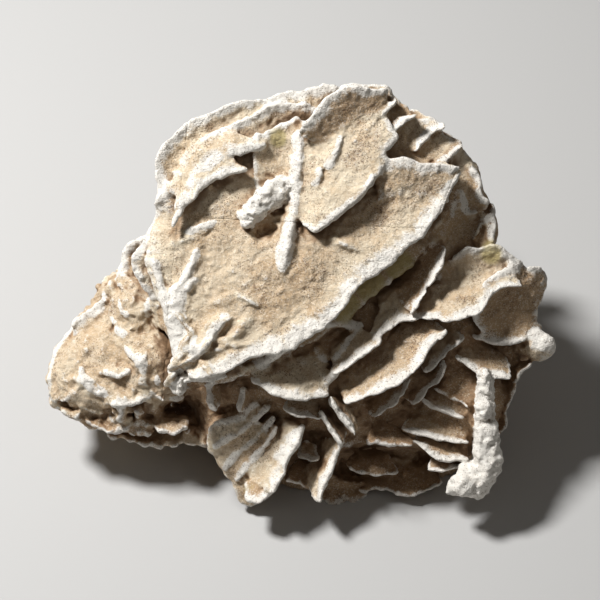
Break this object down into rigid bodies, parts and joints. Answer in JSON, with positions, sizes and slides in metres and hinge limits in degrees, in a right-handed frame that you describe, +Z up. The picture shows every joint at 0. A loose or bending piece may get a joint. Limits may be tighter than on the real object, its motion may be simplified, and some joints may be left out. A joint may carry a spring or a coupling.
{
  "type": "gypsum sand rose",
  "caption": "Intergrown cluster of lens-shaped sandy gypsum plates around a broad leaning crown, with a rounded lobe at one side, lying on a flat underside.",
  "frame": {"origin": "middle of the bounding box, on the ground that the cluster lies on", "axes": "+X along the cluster's length, away from the rounded lobe; +Y away from the side that the crown faces; +Z up"},
  "size_m": [0.1012, 0.076, 0.0713],
  "materials": {
    "sandy_gypsum": "matte sand-filled gypsum, tan faces with chalky white rims"
  },
  "bodies": {
    "root": {"sand_rose": "sandy_gypsum"}
  },
  "joints": []
}
